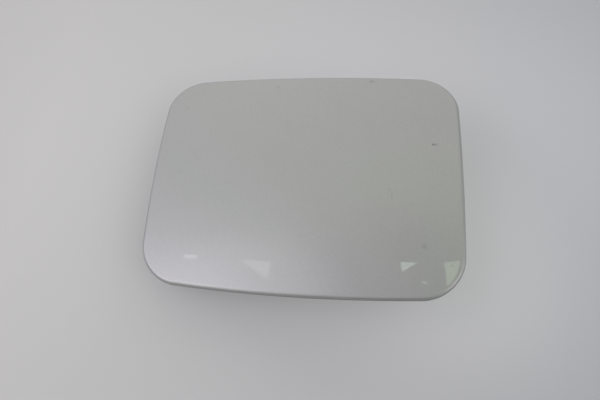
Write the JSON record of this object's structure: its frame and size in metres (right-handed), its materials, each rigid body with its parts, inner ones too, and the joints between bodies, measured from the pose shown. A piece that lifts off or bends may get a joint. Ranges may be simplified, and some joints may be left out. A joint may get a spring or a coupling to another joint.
{
  "type": "car fuel door",
  "caption": "Crowned steel fuel door with rounded corners and a hemmed edge, on a sprung pin hinge, with latch striker, rubber bumpers and a cap cradle.",
  "frame": {"origin": "middle of the two bolt holes, on the hinge bracket's mounting face", "axes": "+Z is the normal of the mounting face, towards the door; +Y runs along the hinge pin; +X points from the bolt holes to the door's hinge edge"},
  "size_m": [0.1686, 0.1291, 0.0475],
  "materials": {
    "body_paint": "silver metallic under clear coat",
    "inner_paint": "silver metallic, thin coat",
    "zinc_steel": "zinc plated",
    "pin_steel": "turned, bright zinc",
    "rivet_steel": "plain",
    "spring_steel": "oiled spring wire",
    "nylon": "natural, satin",
    "black_plastic": "moulded, fine grain",
    "rubber": "moulded",
    "mastic": "soft bead"
  },
  "bodies": {
    "hinge_base": {"hinge_bracket": "zinc_steel", "hinge_pin": "pin_steel", "pin_clip": "spring_steel", "spring_sleeve": "nylon", "torsion_spring": "spring_steel", "stop_buffer": "rubber"},
    "door": {"outer_skin": "body_paint", "inner_panel": "inner_paint", "mastic_pads": "mastic", "hinge_arm": "inner_paint", "arm_screws": "zinc_steel", "weld_nuts": "zinc_steel", "upper_bush": "nylon", "lower_bush": "nylon", "latch_striker": "zinc_steel", "striker_rivets": "rivet_steel", "upper_bumper": "rubber", "lower_bumper": "rubber", "cap_holder": "black_plastic", "holder_rivets": "rivet_steel"}
  },
  "joints": [
    {"name": "door_swing", "type": "hinge", "parent": "hinge_base", "child": "door", "pos_m": [0.034, 0, 0.026], "axis": [0, 1, 0], "range_deg": [0, 100], "stiffness_Nm_per_rad": 0.2, "deforming": ["torsion_spring"]}
  ]
}
